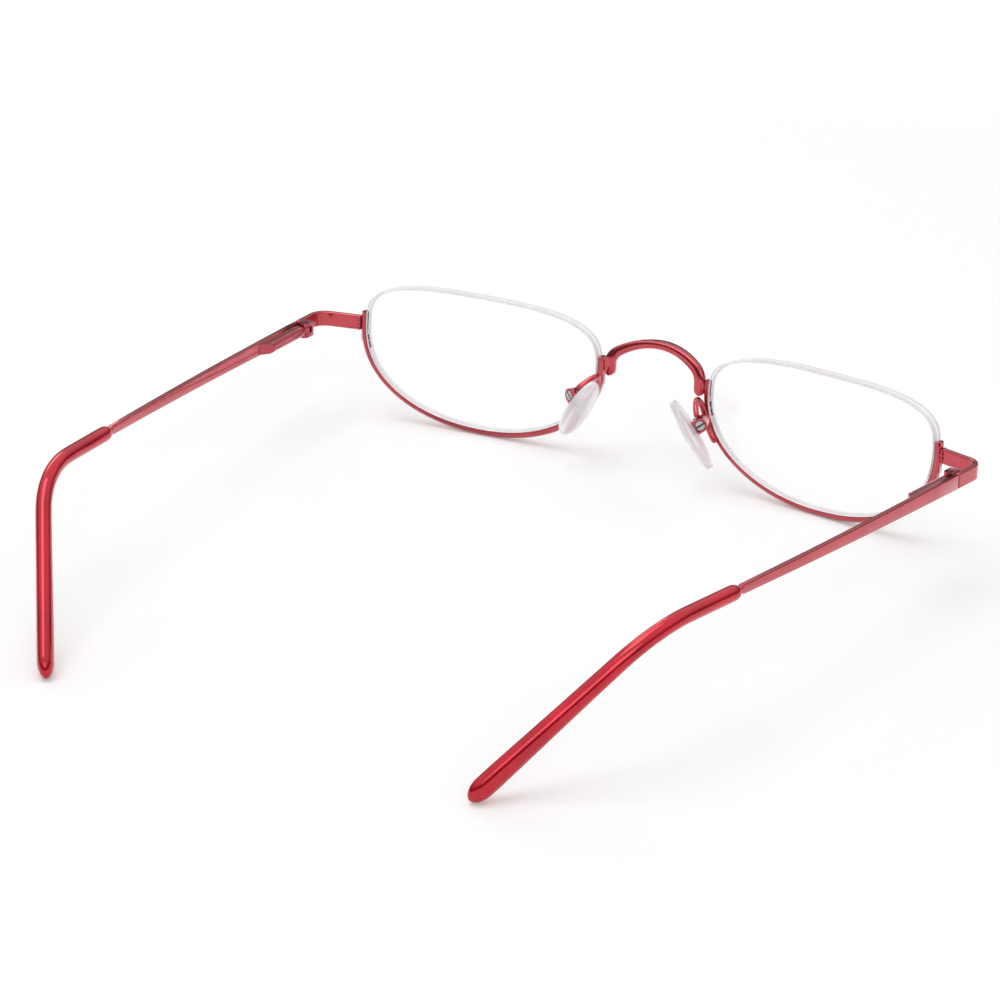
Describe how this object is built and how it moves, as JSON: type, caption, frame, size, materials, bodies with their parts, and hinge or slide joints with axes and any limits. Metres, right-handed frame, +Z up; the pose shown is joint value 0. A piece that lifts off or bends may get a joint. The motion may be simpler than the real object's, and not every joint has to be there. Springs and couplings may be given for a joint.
{
  "type": "half-rim reading glasses",
  "caption": "Metal half-rim reading glasses with nylon-strung lenses, arched bridge, adjustable nose pads, spring-hinged folding temples and plastic ear tips.",
  "frame": {"origin": "under the middle of the glasses, on the surface that they stand on, temples open", "axes": "+X to the wearer's left, +Y from the lenses to the temple tips, +Z up from the surface"},
  "size_m": [0.1376, 0.1308, 0.0262],
  "materials": {
    "red_lacquer": "satin red lacquer",
    "dark_red_lacquer": "satin dark red lacquer",
    "tip_plastic": "glossy clear red",
    "clear_lens": "polished and clear",
    "soft_pad": "soft clear silicone",
    "pad_core": "clear white",
    "nylon": "clear nylon",
    "steel": "bright"
  },
  "bodies": {
    "front": {"bridge": "red_lacquer", "left_lens": "clear_lens", "left_lens_cord": "nylon", "left_rim_liner": "nylon", "left_rim": "red_lacquer", "left_endpiece": "red_lacquer", "left_front_hinge": "dark_red_lacquer", "left_hinge_screw": "steel", "left_pad_arm": "red_lacquer", "left_pad_box": "red_lacquer", "left_pad_screw": "steel", "right_lens": "clear_lens", "right_lens_cord": "nylon", "right_rim_liner": "nylon", "right_rim": "red_lacquer", "right_endpiece": "red_lacquer", "right_front_hinge": "dark_red_lacquer", "right_hinge_screw": "steel", "right_pad_arm": "red_lacquer", "right_pad_box": "red_lacquer", "right_pad_screw": "steel"},
    "left_plunger": {"left_hinge_plunger": "steel", "left_spring_retainer": "steel"},
    "left_temple": {"left_temple_bar": "red_lacquer", "left_spring_housing": "dark_red_lacquer", "left_spring_bush": "steel", "left_hinge_spring": "steel", "left_temple_tip": "tip_plastic"},
    "left_pad": {"left_nose_pad": "soft_pad", "left_pad_insert": "pad_core"},
    "right_plunger": {"right_hinge_plunger": "steel", "right_spring_retainer": "steel"},
    "right_temple": {"right_temple_bar": "red_lacquer", "right_spring_housing": "dark_red_lacquer", "right_spring_bush": "steel", "right_hinge_spring": "steel", "right_temple_tip": "tip_plastic"},
    "right_pad": {"right_nose_pad": "soft_pad", "right_pad_insert": "pad_core"}
  },
  "joints": [
    {"name": "left_fold", "type": "hinge", "parent": "front", "child": "left_plunger", "pos_m": [0.0664, -0.04715, 0.01848], "axis": [0, -0.0668, 0.9978], "range_deg": [-7, 83]},
    {"name": "left_spring_draw", "type": "slide", "parent": "left_plunger", "child": "left_temple", "axis": [-0.0732, 0.9951, 0.0667], "range_m": [0, 0.0008], "stiffness_N_per_m": 3000, "springref_m": -0.001, "deforming": ["left_hinge_spring"]},
    {"name": "left_pad_rock", "type": "hinge", "parent": "front", "child": "left_pad", "pos_m": [0.0131, -0.05565, 0.0139], "axis": [0.3758, 0.9199, 0.1122], "range_deg": [-8, 8]},
    {"name": "right_fold", "type": "hinge", "parent": "front", "child": "right_plunger", "pos_m": [-0.0664, -0.04715, 0.01848], "axis": [0, 0.0668, -0.9978], "range_deg": [-7, 78]},
    {"name": "right_spring_draw", "type": "slide", "parent": "right_plunger", "child": "right_temple", "axis": [0.0732, 0.9951, 0.0667], "range_m": [0, 0.0008], "stiffness_N_per_m": 3000, "springref_m": -0.001, "deforming": ["right_hinge_spring"]},
    {"name": "right_pad_rock", "type": "hinge", "parent": "front", "child": "right_pad", "pos_m": [-0.0131, -0.05565, 0.0139], "axis": [-0.3758, 0.9199, 0.1122], "range_deg": [-8, 8]}
  ]
}
